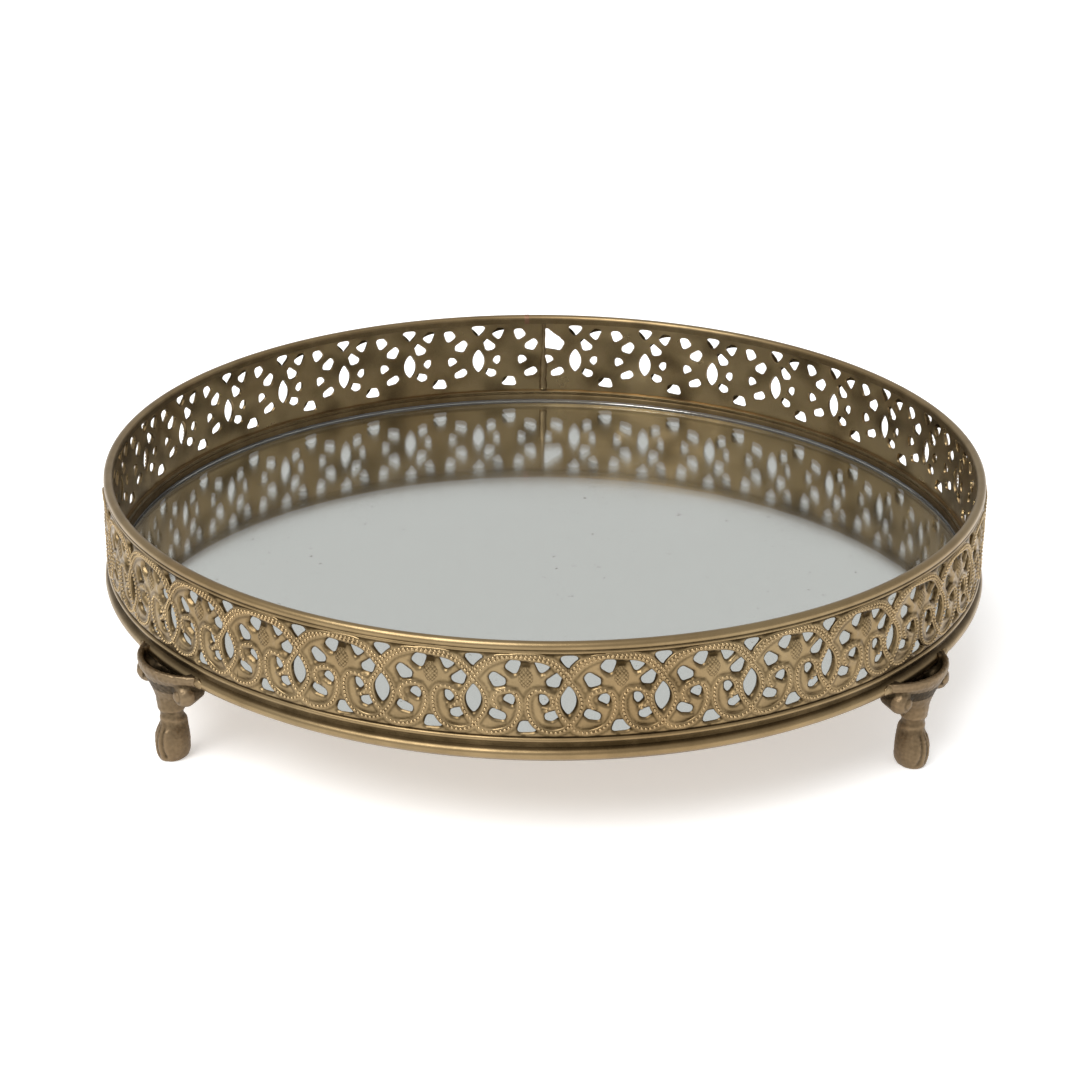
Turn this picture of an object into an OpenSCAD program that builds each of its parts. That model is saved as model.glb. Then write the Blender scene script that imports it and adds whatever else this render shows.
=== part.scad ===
// Round dresser vanity tray: a mirror floor inside a pierced brass gallery, on four paw feet.
// Origin: centre of the tray, on the surface that the feet stand on. The front is -Y.

/* [Tray] */
// Outer diameter of the top rim
rim_d = 260; // [200:1:340]
// Height of the rim's top above the surface
tray_h = 60; // [45:0.5:90]
// Height from the underside of the base moulding to the top of the rim
body_h = 34.2; // [26:0.1:50]

/* [Top rim] */
// Width of the rolled rim
rim_w = 2.8; // [2:0.1:5]
// Height of the rim's plain inner face
rim_h = 2.8; // [2.5:0.1:6]
// Height of the rim's outer side, down to the lip's lower edge
skirt_h = 3.2; // [2.8:0.1:6]
// Radius of the small lip under the roll
rim_lip_r = 0.55; // [0.3:0.05:1]
// Angle of the rim's soldered joint from the front
rim_seam_a = -177; // [-180:1:180]
// Length of the solder in the rim's joint
rim_seam_w = 1.6; // [0.5:0.1:4]

/* [Gallery] */
// Thickness of the pierced strip
strip_t = 1.2; // [0.8:0.1:2.5]
// Length of one repeat of the pattern
repeat_l = 24.2; // [18:0.1:34]
// Where the strip's first end is cut, past an eye's axis
cut_u = 2; // [0:0.1:24]
// Angle of the strip's soldered joint from the front
strip_seam_a = -179.6; // [-180:0.1:180]
// Gap between the strip's cut ends
seam_gap = 0.4; // [0.2:0.05:1]
// Height of the raised buds
bud_h = 1.2; // [0.3:0.1:2]
// Radius of the buds at their foot
bud_r = 2.3; // [1:0.1:3]
// Plain edge left over the pattern
top_margin = 0.3; // [0.1:0.1:2]
// Depth that the strip stands in the rim's groove
top_tongue = 1; // [0.5:0.1:2]
// Depth that the strip stands in the base's groove
low_tongue = 1.5; // [0.8:0.1:2.5]

/* [Base moulding] */
// Height from the underside of the moulding to the strip's seen lower edge
moulding_h = 7.4; // [6:0.1:12]
// Thickness of the moulding outside the strip, at the cove
cove_t = 0.5; // [0.4:0.1:2]
// How far the upper bead stands out past the cove
bead_top_reach = 0.65; // [0.3:0.05:1.5]
// How far the lower bead stands out past the cove
bead_low_reach = 1.45; // [0.6:0.05:3]
// Height of the lower bead's underside over the moulding's underside
bead_low_lift = 0.95; // [0:0.05:2]
// Radius of the upper bead
bead_top_r = 0.75; // [0.4:0.05:1.5]
// Radius of the lower bead
bead_low_r = 1.65; // [1:0.05:3]
// Width of the inner ledge between the strip and the glass
ledge_w = 0.9; // [0.5:0.1:3]
// Height of the ledge's first step over the glass
ledge_h = 1.4; // [0.5:0.1:3]
// Thickness of the hem that is rolled in under the floor plate
hem_t = 0.4; // [0.3:0.05:1]
// Width of the hem
hem_w = 1.6; // [0.8:0.1:4]

/* [Mirror and floor] */
// Thickness of the glass
glass_t = 2.8; // [2:0.1:5]
// Thickness of the silvering and its paint
silver_t = 0.2; // [0.1:0.05:0.4]
// Thickness of the cushion card
card_t = 0.3; // [0.2:0.1:1]
// Thickness of the floor plate
plate_t = 0.5; // [0.3:0.1:1.2]
// Clearance round the glass and the layers under it
glass_gap = 0.2; // [0.1:0.05:0.6]

/* [Feet] */
// Angle of the front left foot from the front
foot_left_a = -52; // [-70:1:-35]
// Angle of the front right foot from the front
foot_right_a = 52; // [35:1:70]
// How far the cup stands out from the lower bead
cup_out = 6.2; // [3:0.1:10]
// Half of the cup's width along the moulding
cup_half_w = 14; // [9:0.5:20]
// Wall of the cup
cup_wall = 1.3; // [0.8:0.1:2.5]
// Height of the cup over the middle of the lower bead
cup_rise = 1.5; // [1:0.1:4]
// Depth of the cup's band under the middle of the lower bead
cup_drop = 1; // [0:0.1:3]
// Radius of the scroll under each end of the cup
lobe_r = 3; // [1.5:0.1:5]
// Length of the scroll, from the back of the foot outwards
lobe_l = 6.5; // [4:0.1:9]
// Radius of the ankle
ankle_r = 2.9; // [2:0.1:5]
// Radius of the raised ring round the ankle
cuff_r = 0.8; // [0.3:0.1:1.5]
// How far the toes stand out in front of the ankle's middle
toe_reach = 2.4; // [1:0.1:5]
// Width of the paw
paw_w = 9; // [6:0.5:14]
// Radius of the solder blobs at the cup's tips
blob_r = 1.2; // [0.6:0.1:2.5]
// Length of the solder blobs
blob_l = 3; // [1.5:0.1:6]

/* [Colours] */
// Antique brass
brass = [0.52, 0.44, 0.32];
// Darker cast brass of the feet
cast_brass = [0.46, 0.37, 0.26];
// Copper-coloured solder
solder = [0.60, 0.42, 0.30];
// Glass
glass_colour = [0.71, 0.72, 0.71];
// Paint on the back of the silver
paint_colour = [0.35, 0.33, 0.31];
// Grey card
card_colour = [0.62, 0.58, 0.50];

/* [Hidden] */
$fn = 96;

// Heights, from the floor up.
base_z = tray_h - body_h;
plate_z = base_z + hem_t;
card_z = plate_z + plate_t;
silver_z = card_z + card_t;
glass_z = silver_z + silver_t;
glass_top = glass_z + glass_t;
rim_z = tray_h - rim_h;

// Radii. The strip lies under the middle of the rim's outer half.
rim_r = rim_d / 2;
strip_out = rim_r - 0.3 * rim_w;
strip_in = strip_out - strip_t;
rim_in = rim_r - rim_w;
cove_r = strip_out + cove_t;
bead_top_out = cove_r + bead_top_reach;
bead_low_out = cove_r + bead_low_reach;
pocket_r = strip_in - ledge_w;
layer_r = pocket_r - glass_gap;

// Heights of the base moulding and of the strip's seen part.
bead_low_z = base_z + bead_low_r + bead_low_lift;
strip_seen_z = base_z + moulding_h;
slot_z = strip_seen_z - low_tongue;
strip_top_z = rim_z + top_tongue;
bead_top_z = strip_seen_z - bead_top_r;
skirt_z = tray_h - skirt_h;
strip_seen_h = skirt_z - top_margin - strip_seen_z;

// The pattern: outlines are drawn for a repeat of pattern_l by pattern_h and stretched to the strip.
pattern_l = 24.3;
pattern_h = 23.4;
u_scale = repeat_l / pattern_l;
v_scale = strip_seen_h / pattern_h;
mid_r = (strip_out + strip_in) / 2;
ring_l = 2 * PI * mid_r;
strip_l = ring_l - seam_gap;
repeats = ceil((strip_l + cut_u) / repeat_l);
deg_per_mm = 360 / ring_l;

// Along the repeat, the bud's axis lies this far past the eye's axis.
bud_u = 13.3;
bud_v = 17;
// The buds start this far into the strip's wall.
bud_root = 0.3;
eye_v = 10.5;
eye_w = 3.9;
eye_h = 8.2;

// Openings to the right of the bud's axis, which the left-hand ones mirror.
side_holes = [
  [[1.4, 21.6], [4, 21.8], [5.8, 19.9], [3.1, 17.6]],
  [[8.2, 18.4], [9.5, 17.2], [8.2, 13.8], [5.3, 14.5], [5.1, 16.2]],
  [[3.1, 12], [5, 12], [6.3, 10.4], [4, 8.8], [3.1, 10.2]],
  [[4.9, 6.5], [8.3, 7.9], [9.1, 6], [7.3, 4.6], [5, 4.6]]
];
// The opening under the bud, and the one over the eye, which is measured from the eye's axis.
low_hole = [[-1.8, 4.4], [1.8, 4.4], [2.8, 1], [-2.8, 1]];
// The bridge between two openings that has broken out next to the strip's last end.
broken_bridge = [[8.2, 18.4], [5.8, 19.9], [3.1, 17.6], [5.1, 16.2]];
crown_hole = [[-2.5, 22.7], [2.8, 22.7], [0.7, 18.7], [-0.4, 18.7]];

// Shares of the foot's height at which the cup's stem and the ankle's ring lie, of the cup's half
// width at which the scrolls lie, and of the paw's width that each toe's radius takes.
collar_share = 0.64;
cuff_share = 0.47;
lobe_share = 0.55;
toe_share = 0.21;
// The ankle's middle lies this far inside the lower bead's outer side, and the foot's flat back
// this far behind the ankle.
foot_in = 1;
back_t = 1.6;
// The feet: the cup's plan is a circle through both its tips and its foremost point.
cup_sag = cup_out + bead_low_out - sqrt(bead_low_out * bead_low_out - cup_half_w * cup_half_w);
cup_r = (cup_half_w * cup_half_w + cup_sag * cup_sag) / (2 * cup_sag);
cup_y = bead_low_out + cup_out - cup_r;
cup_top = bead_low_z + cup_rise;
cup_low = bead_low_z - cup_drop;
foot_y = bead_low_out - foot_in;
foot_back_y = foot_y - ankle_r - back_t;
collar_z = collar_share * base_z;
collar_r = ankle_r + cuff_r;
cuff_z = cuff_share * base_z;
lobe_x = lobe_share * cup_half_w;
toe_r = toe_share * paw_w;
toe_sunk = 0.2 * toe_r;
foot_rear_right_a = foot_left_a + 180;
foot_rear_left_a = foot_right_a + 180;

// Puts a piece at an angle from the front, seen from above, and at a radius.
module at_angle(angle, radius) {
  rotate([0, 0, angle]) translate([0, -radius, 0]) children();
}

// Where a repeat's bud lies along the ring, from the middle of the gap at the seam.
function bud_axis_u(index) = seam_gap / 2 - cut_u + index * repeat_l + bud_u * u_scale;

// Stretches an outline to the strip and mirrors it if side is -1.
function fitted(points, side) = [for (p = points) [side * p[0] * u_scale, p[1] * v_scale]];

// The pointed oval opening where two ovals cross.
module eye() {
  half_w = eye_w * u_scale / 2;
  half_h = eye_h * v_scale / 2;
  arc_r = (half_w * half_w + half_h * half_h) / (2 * half_w);
  translate([0, eye_v * v_scale]) intersection() {
    translate([half_w - arc_r, 0]) circle(arc_r);
    translate([arc_r - half_w, 0]) circle(arc_r);
  }
}

// All the openings of one repeat, measured from the bud's axis.
module openings() {
  for (points = side_holes, side = [-1, 1]) polygon(fitted(points, side));
  polygon(fitted(low_hole, 1));
  translate([-bud_u * u_scale, 0]) {
    eye();
    polygon(fitted(crown_hole, 1));
  }
}

// The cutter for one repeat. It stops at the strip's two ends, which cut the pattern where they fall.
module repeat_cutter(index) {
  axis_u = bud_axis_u(index);
  at_angle(axis_u * deg_per_mm + strip_seam_a, strip_in - 2) rotate([90, 0, 0])
    linear_extrude(strip_t + 4) translate([0, strip_seen_z]) intersection() {
      union() {
        openings();
        if (index == repeats - 1) polygon(fitted(broken_bridge, -1));
      }
      translate([seam_gap / 2 - axis_u, 0]) square([strip_l, strip_seen_h]);
    }
}

// The strip's wall before it is pierced.
module strip_wall() {
  rotate_extrude() translate([strip_in, slot_z])
    square([strip_t, strip_top_z - slot_z]);
}

// The gap at the back where a ring's two ends meet.
module seam_box(width) {
  rotate([0, 0, strip_seam_a]) translate([-width / 2, -mid_r - 5, 0]) cube([width, 10, tray_h + 1]);
}

module buds() {
  for (index = [0 : repeats - 2])
    at_angle(bud_axis_u(index) * deg_per_mm + strip_seam_a, strip_in + bud_root)
      translate([0, 0, strip_seen_z + bud_v * v_scale]) rotate([90, 0, 0])
        cylinder(h = strip_t - bud_root + bud_h, r1 = bud_r, r2 = 0.7 * bud_r, $fn = 24);
}

module rim_profile() {
  difference() {
    union() {
      translate([rim_r - rim_w / 2, tray_h - rim_w / 2]) circle(rim_w / 2);
      translate([rim_in, rim_z]) square([strip_out - rim_in, tray_h - rim_w / 2 - rim_z]);
      translate([strip_out - 0.2, skirt_z + rim_lip_r / 2])
        square([0.5, tray_h - rim_w / 2 - skirt_z - rim_lip_r / 2]);
      translate([strip_out + 0.2, skirt_z + rim_lip_r]) circle(rim_lip_r);
    }
    translate([strip_in, skirt_z - 1]) square([strip_t, strip_top_z - skirt_z + 1]);
  }
}

module top_rim() {
  color(brass) difference() {
    rotate_extrude() rim_profile();
    rim_seam_box();
  }
}

module rim_seam_box() {
  rotate([0, 0, rim_seam_a]) translate([-rim_seam_w / 2, -rim_r - 5, rim_z - 1])
    cube([rim_seam_w, 10, rim_h + 2]);
}

module rim_seam_solder() {
  color(solder) intersection() {
    rotate_extrude() rim_profile();
    rim_seam_box();
  }
}

module gallery_strip() {
  color(brass) difference() {
    union() {
      strip_wall();
      buds();
    }
    for (index = [0 : repeats - 1]) repeat_cutter(index);
    seam_box(seam_gap);
  }
}

module gallery_seam_solder() {
  color(solder) intersection() {
    strip_wall();
    seam_box(seam_gap);
  }
}

module base_profile() {
  difference() {
    union() {
      translate([bead_top_out - bead_top_r, bead_top_z]) circle(bead_top_r);
      translate([bead_low_out - bead_low_r, bead_low_z]) circle(bead_low_r);
      translate([pocket_r, base_z]) square([cove_r - pocket_r, glass_top + ledge_h - base_z]);
      translate([pocket_r + ledge_w / 2, base_z])
        square([cove_r - pocket_r - ledge_w / 2, bead_top_z - base_z]);
      translate([pocket_r - hem_w, base_z]) square([hem_w + 0.5, hem_t]);
    }
    translate([strip_in, slot_z]) square([strip_t, low_tongue + 5]);
  }
}

module base_ring() {
  color(brass) rotate_extrude() base_profile();
}

module layer(low_z, thick) {
  translate([0, 0, low_z]) cylinder(h = thick, r = layer_r);
}

module mirror_glass() {
  color(glass_colour) layer(glass_z, glass_t);
}

module mirror_silvering() {
  color(paint_colour) layer(silver_z, silver_t);
}

module cushion_card() {
  color(card_colour) layer(card_z, card_t);
}

module floor_plate() {
  color(brass) layer(plate_z, plate_t);
}

// A disc that a hull joins, at a place on the foot's middle line.
module foot_disc(y, z, radius, height) {
  translate([0, -y, z]) cylinder(h = height, r = radius, $fn = 32);
}

module toe(side) {
  x = side * (paw_w / 2 - toe_r);
  hull() {
    translate([0.4 * x, -foot_y, cuff_z - 1]) sphere(1.2 * toe_r, $fn = 14);
    translate([x, -foot_y - 2 / 3 * toe_reach, cuff_z / 2]) sphere(1.15 * toe_r, $fn = 14);
    translate([x, -foot_y - toe_reach, toe_r - toe_sunk]) sphere(toe_r, $fn = 14);
    translate([0.8 * x, -foot_back_y, toe_r - toe_sunk]) sphere(toe_r, $fn = 14);
  }
}

// The cup is open at the top and leans on the lower bead, which closes its inner side.
module cup() {
  difference() {
    hull() {
      foot_disc(cup_y, cup_low, cup_r, cup_top - cup_low);
      foot_disc(foot_y, collar_z, collar_r, 1);
    }
    difference() {
      hull() {
        foot_disc(cup_y, cup_low, cup_r - cup_wall, cup_top);
        foot_disc(bead_low_out + 2, base_z - 4, 1.2, 1);
      }
      cylinder(h = tray_h, r = bead_low_out);
    }
    translate([0, 0, base_z]) cylinder(h = tray_h, r = bead_low_out);
    translate([-tray_h, -foot_back_y, 0]) cube([2 * tray_h, rim_d, tray_h]);
  }
}

module foot(angle) {
  color(cast_brass) rotate([0, 0, angle]) difference() {
    union() {
      cup();
      for (side = [-1, 1])
        translate([side * lobe_x, -foot_back_y, base_z - lobe_r]) rotate([90, 0, 0])
          cylinder(h = lobe_l, r = lobe_r);
      translate([0, -foot_y, cuff_z]) cylinder(h = collar_z + 1 - cuff_z, r1 = ankle_r, r2 = collar_r);
      translate([0, -foot_y, cuff_z]) rotate_extrude() translate([ankle_r - cuff_r / 4, 0])
        circle(cuff_r);
      for (side = [-1, -1 / 3, 1 / 3, 1]) toe(side);
    }
    translate([-paw_w, -foot_y - paw_w, -paw_w]) cube([2 * paw_w, 2 * paw_w, paw_w]);
  }
}

// A blob at one tip of a foot's cup: a short bar of solder along the bead, with a domed outer side.
module foot_solder(angle, side) {
  tip_a = asin(cup_half_w / bead_low_out);
  bar_a = blob_l / bead_low_out * 180 / PI;
  color(solder) rotate([0, 0, angle + side * (tip_a + bar_a / 2) - 90 - bar_a / 2])
    rotate_extrude(angle = bar_a, $fn = 720) difference() {
      translate([bead_low_out, bead_low_z]) circle(blob_r, $fn = 48);
      translate([0, bead_low_z - 2 * blob_r]) square([bead_low_out, 4 * blob_r]);
    }
}

module foot_front_left() { foot(foot_left_a); }
module foot_front_right() { foot(foot_right_a); }
module foot_rear_left() { foot(foot_rear_left_a); }
module foot_rear_right() { foot(foot_rear_right_a); }
module solder_front_left_a() { foot_solder(foot_left_a, -1); }
module solder_front_left_b() { foot_solder(foot_left_a, 1); }
module solder_front_right_a() { foot_solder(foot_right_a, -1); }
module solder_front_right_b() { foot_solder(foot_right_a, 1); }
module solder_rear_left_a() { foot_solder(foot_rear_left_a, -1); }
module solder_rear_left_b() { foot_solder(foot_rear_left_a, 1); }
module solder_rear_right_a() { foot_solder(foot_rear_right_a, -1); }
module solder_rear_right_b() { foot_solder(foot_rear_right_a, 1); }

top_rim();
rim_seam_solder();
gallery_strip();
gallery_seam_solder();
base_ring();
mirror_glass();
mirror_silvering();
cushion_card();
floor_plate();
foot_front_left();
foot_front_right();
foot_rear_left();
foot_rear_right();
solder_front_left_a();
solder_front_left_b();
solder_front_right_a();
solder_front_right_b();
solder_rear_left_a();
solder_rear_left_b();
solder_rear_right_a();
solder_rear_right_b();
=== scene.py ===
import math

import numpy as np
import bpy
from mathutils import Matrix, Vector, noise
from mathutils.geometry import delaunay_2d_cdt
from mathutils.kdtree import KDTree


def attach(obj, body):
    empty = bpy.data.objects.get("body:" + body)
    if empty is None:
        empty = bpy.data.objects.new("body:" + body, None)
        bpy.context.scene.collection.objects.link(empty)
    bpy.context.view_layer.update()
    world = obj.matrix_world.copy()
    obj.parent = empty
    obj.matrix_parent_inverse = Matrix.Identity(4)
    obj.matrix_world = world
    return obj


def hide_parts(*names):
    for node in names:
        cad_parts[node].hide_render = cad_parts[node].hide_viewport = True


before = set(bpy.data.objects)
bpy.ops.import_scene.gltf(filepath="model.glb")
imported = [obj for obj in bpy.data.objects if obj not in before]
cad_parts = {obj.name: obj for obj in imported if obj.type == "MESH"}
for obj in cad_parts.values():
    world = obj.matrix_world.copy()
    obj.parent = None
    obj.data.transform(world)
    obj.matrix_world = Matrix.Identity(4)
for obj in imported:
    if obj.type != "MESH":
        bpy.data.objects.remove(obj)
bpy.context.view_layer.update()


# ---------------------------------------------------------------- Base moulding
# A drawn and rolled brass ring: a thin bead over a cove over a fat bead, with a stepped ledge
# inside that the mirror drops into. Its recesses are dark, with patina and with painted shade that deepens
# the cove.

MM = 0.001
BODY = "root"
ring_steps = 320
ledge_r = 127.1
ledge_step_r = 127.55
ledge_low_z = 31.4
ledge_top_z = 32.6
strip_in_r = 127.96
strip_out_r = 129.16
upper_bead_r = 0.75
upper_bead_at = (129.56, 32.45)
cove_r = 129.35
lower_bead_r = 1.65
lower_bead_at = (129.46, 28.4)
base_low_z = 25.8
hem_in_r = 125.5
hem_top_z = 26.2


def arc(centre, radius, start, stop, count):
    """Points (distance from the tray's axis, height) on an arc, in millimetres, angles in degrees."""
    angles = [math.radians(start + (stop - start) * i / count) for i in range(count + 1)]
    return [(centre[0] + radius * math.cos(a), centre[1] + radius * math.sin(a)) for a in angles]


def clear_selection():
    if bpy.context.object and bpy.context.object.mode == "EDIT":
        bpy.ops.object.mode_set(mode="OBJECT")
    bpy.ops.object.select_all(action="DESELECT")


def piece_from(name, vertices, faces):
    """A new selected, active object whose mesh has these vertices, given in millimetres."""
    clear_selection()
    mesh = bpy.data.meshes.new(name)
    mesh.from_pydata([[c * MM for c in v] for v in vertices], [], faces)
    obj = bpy.data.objects.new(name, mesh)
    bpy.context.scene.collection.objects.link(obj)
    obj.select_set(True)
    bpy.context.view_layer.objects.active = obj
    return obj


def spun(name, outline):
    """A ring made by spinning a closed outline round the tray's axis."""
    count = len(outline)
    obj = piece_from(name, [(0, -r, z) for r, z in outline], [])
    obj.data.edges.add(count)
    for i, edge in enumerate(obj.data.edges):
        edge.vertices = (i, (i + 1) % count)
    bpy.ops.object.mode_set(mode="EDIT")
    bpy.ops.mesh.select_all(action="SELECT")
    bpy.ops.mesh.spin(steps=ring_steps, angle=2 * math.pi, center=(0, 0, 0), axis=(0, 0, 1))
    bpy.ops.mesh.select_all(action="SELECT")
    bpy.ops.mesh.remove_doubles(threshold=0.00001)
    bpy.ops.mesh.normals_make_consistent(inside=False)
    bpy.ops.object.mode_set(mode="OBJECT")
    bpy.ops.object.shade_smooth_by_angle(angle=math.radians(40))
    return obj


def paint_patina_and_shade(obj, depth_of):
    """Stores how dark each point is painted, from 0 to 1, by a function of its place in millimetres: patina,
    and painted shade where the function puts it.
    """
    layer = obj.data.attributes.get("patina") or obj.data.attributes.new("patina", "FLOAT", "POINT")
    for vertex, value in zip(obj.data.vertices, layer.data):
        value.value = min(1.0, max(0.0, depth_of(vertex.co / MM)))


class Wire:
    """A socket of one material. Sums on it add Math nodes, and add() makes any other node."""

    def __init__(self, tree, socket=None):
        self.tree, self.socket = tree, socket

    def add(self, kind, settings=None, values=None, output=0):
        node = self.tree.nodes.new(kind)
        for name, value in (settings or {}).items():
            if name == "stops":
                ramp = node.color_ramp.elements
                while len(ramp) < len(value):
                    ramp.new(0.5)
                for element, (place, colour) in zip(ramp, value):
                    element.position = place
                    element.color = colour
            else:
                setattr(node, name, value)
        for name, value in (values or {}).items():
            if isinstance(value, Wire):
                self.tree.links.new(value.socket, node.inputs[name])
            else:
                node.inputs[name].default_value = value
        return Wire(self.tree, node.outputs[output] if len(node.outputs) else None)

    def sum_with(self, operation, first, second):
        return self.add("ShaderNodeMath", {"operation": operation}, {0: first, 1: second})

    def __add__(self, other):
        return self.sum_with("ADD", self, other)

    __radd__ = __add__

    def __sub__(self, other):
        return self.sum_with("SUBTRACT", self, other)

    def __rsub__(self, other):
        return self.sum_with("SUBTRACT", other, self)

    def __mul__(self, other):
        return self.sum_with("MULTIPLY", self, other)

    __rmul__ = __mul__

    def clamped(self):
        return self.add("ShaderNodeClamp", {}, {"Value": self})

    def mix(self, low, high):
        """The colour between two others at this value."""
        return self.add("ShaderNodeMix", {"data_type": "RGBA"}, {"Factor": self, "A": low, "B": high}, 2)


def new_material(name):
    """An empty material's wire and its object coordinates."""
    material = bpy.data.materials.new(name)
    material.use_nodes = True
    material.node_tree.nodes.clear()
    start = Wire(material.node_tree)
    return material, start, start.add("ShaderNodeTexCoord", {}, {}, "Object")


def finish_material(start, values):
    shader = start.add("ShaderNodeBsdfPrincipled", {}, values)
    start.add("ShaderNodeOutputMaterial", {}, {"Surface": shader})


def grain(start, place, scale, detail=3.0, rough=0.55):
    """Noise of this many bumps a metre."""
    values = {"Vector": place, "Scale": scale, "Detail": detail, "Roughness": rough}
    return start.add("ShaderNodeTexNoise", {}, values)


def antique_brass(name, bright, dark, rough, speck_scale, speck_depth, cover=0.0):
    """Worn brass, mottled and finely pitted, dark where its stored attribute says so; that darkness is patina
    in places and painted shade in others.
    """
    material, start, place = new_material(name)
    stored = start.add("ShaderNodeAttribute", {"attribute_name": "patina"}, {}, "Fac")
    mottle = grain(start, place, 95.0, 4.0, 0.6)
    cloud = grain(start, place, 22.0, 2.0, 0.5)
    speck = grain(start, place, speck_scale, 2.0, 0.6)
    mask = (stored + (mottle - 0.5) * 0.75 + (cloud - 0.5) * 0.5 + (speck - 0.5) * 0.25 + cover).clamped()
    redder = [bright[0] * 1.05, bright[1] * 0.95, bright[2] * 0.84, 1]
    warm = (cloud * 1.6 - 0.45).clamped().mix(bright, redder)
    finish_material(start, {
        "Base Color": mask.mix(warm, dark),
        "Metallic": 1.0,
        "Roughness": (mask * 0.16 + mottle * 0.1 + rough - 0.05).clamped(),
        "Normal": start.add("ShaderNodeBump", {}, {
            "Strength": 0.5, "Distance": speck_depth, "Height": speck + mottle * 0.6}),
    })
    return material


BRIGHT_BRASS = [0.305, 0.226, 0.122, 1]
DARK_BRASS = [0.05, 0.032, 0.013, 1]
rolled_brass = antique_brass("rolled_antique_brass", BRIGHT_BRASS, DARK_BRASS, 0.33, 2600.0, 0.00004)

moulding_outline = [
    (hem_in_r, base_low_z), (hem_in_r, hem_top_z), (ledge_r, hem_top_z), (ledge_r, ledge_low_z - 0.2),
    (ledge_r + 0.15, ledge_low_z), (ledge_step_r, ledge_low_z + 0.05), (ledge_step_r, ledge_top_z - 0.15),
    (ledge_step_r + 0.15, ledge_top_z), (strip_in_r + 0.4, ledge_top_z)]
moulding_outline += arc(upper_bead_at, upper_bead_r, 120, -55, 10)
moulding_outline += [(cove_r + 0.1, 31.5), (cove_r, 30.9), (cove_r + 0.05, 30.3)]
moulding_outline += arc(lower_bead_at, lower_bead_r, 72, -82, 16)
moulding_outline += [(128.9, base_low_z + 0.25), (128.5, base_low_z)]

base_moulding = spun("base_moulding", moulding_outline)


def moulding_patina_and_shade(at):
    """Dark in the cove, its patina deepened with painted shade, and in a thin line where the strip stands on
    the thin bead; dark inside the ledge and below 27 mm; bright on the beads.
    """
    radius = math.hypot(at.x, at.y)
    if radius < strip_in_r + 0.3:
        return 0.6
    # The cove's darkness is patina and painted shade together.
    cove = math.exp(-((at.z - 30.75) / 1.15) ** 4)
    seat = math.exp(-((at.z - 33.3) / 0.25) ** 2)
    return 0.10 + 0.78 * cove + 0.8 * seat + (0.4 if at.z < 27 else 0)


paint_patina_and_shade(base_moulding, moulding_patina_and_shade)
base_moulding.data.materials.append(rolled_brass)
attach(base_moulding, BODY)
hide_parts("base_ring")


# ---------------------------------------------------------------- Floor plate, card and silver
# Under the glass lie the silver's protective paint, a cushion card and a thin brass plate, which
# the hem of the moulding holds in. Only the plate shows, from below.

plate_brass = antique_brass(
    "floor_plate_brass", [0.40, 0.30, 0.17, 1], DARK_BRASS, 0.42, 1500.0, 0.00005, 0.2)
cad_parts["floor_plate"].data.materials.clear()
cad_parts["floor_plate"].data.materials.append(plate_brass)

card_grey, start, place = new_material("cushion_card_grey")
fibre = grain(start, place, 900.0, 4.0, 0.7)
finish_material(start, {
    "Base Color": fibre.mix([0.30, 0.27, 0.22, 1], [0.42, 0.38, 0.31, 1]),
    "Roughness": 0.9,
    "Normal": start.add("ShaderNodeBump", {}, {"Strength": 0.6, "Distance": 0.0001, "Height": fibre}),
})
backing_paint, start, place = new_material("silver_backing_paint")
streak = grain(start, place, 60.0, 3.0, 0.5)
finish_material(start, {
    "Base Color": streak.mix([0.10, 0.075, 0.065, 1], [0.16, 0.12, 0.105, 1]),
    "Roughness": streak * 0.2 + 0.45,
})
for node_name, material, slot_name in (
        ("cushion_card", card_grey, "card"), ("mirror_silvering", backing_paint, "silvering")):
    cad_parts[node_name].data.materials.clear()
    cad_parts[node_name].data.materials.append(material)


# ---------------------------------------------------------------- Mirror
# A disc of plate glass with its ground edge, silvered underneath. The silver is old and a little
# hazy, so what it reflects is softer than the thing itself.

glass_r = 126.9
glass_low_z = 27.21
glass_top_z = 30.0
arris = 0.25

clear_selection()
bpy.ops.mesh.primitive_cylinder_add(
    vertices=256, radius=glass_r * MM, depth=(glass_top_z - glass_low_z) * MM,
    location=(0, 0, (glass_top_z + glass_low_z) / 2 * MM))
mirror = bpy.context.object
mirror.name = "mirror"
bpy.ops.object.transform_apply(location=True, rotation=True, scale=True)
bpy.ops.object.mode_set(mode="EDIT")
bpy.ops.mesh.select_all(action="SELECT")
bpy.ops.mesh.edges_select_sharp(sharpness=math.radians(60))
bpy.ops.mesh.bevel(offset=arris * MM, segments=2)
bpy.ops.mesh.select_all(action="SELECT")
bpy.ops.mesh.normals_make_consistent(inside=False)
bpy.ops.object.mode_set(mode="OBJECT")
bpy.ops.object.shade_smooth_by_angle(angle=math.radians(12))

clear_glass, start, place = new_material("plate_glass")
smear = grain(start, place, 14.0, 3.0, 0.6)
finish_material(start, {
    "Base Color": [0.94, 0.95, 0.94, 1],
    "Transmission Weight": 1.0,
    "IOR": 1.5,
    "Roughness": (smear * 0.05 - 0.015).clamped(),
})
ground_edge, start, place = new_material("ground_glass_edge")
frost = grain(start, place, 1800.0, 3.0, 0.6)
finish_material(start, {
    "Base Color": frost.mix([0.13, 0.13, 0.14, 1], [0.21, 0.21, 0.22, 1]),
    "Roughness": frost * 0.2 + 0.6,
    "Normal": start.add("ShaderNodeBump", {}, {"Strength": 0.5, "Distance": 0.00008, "Height": frost}),
})
silver, start, place = new_material("old_silvering")
haze = grain(start, place, 30.0, 4.0, 0.6)
spots = grain(start, place, 420.0, 2.0, 0.7)
fox = ((spots - 0.70) * 14).clamped()
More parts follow.
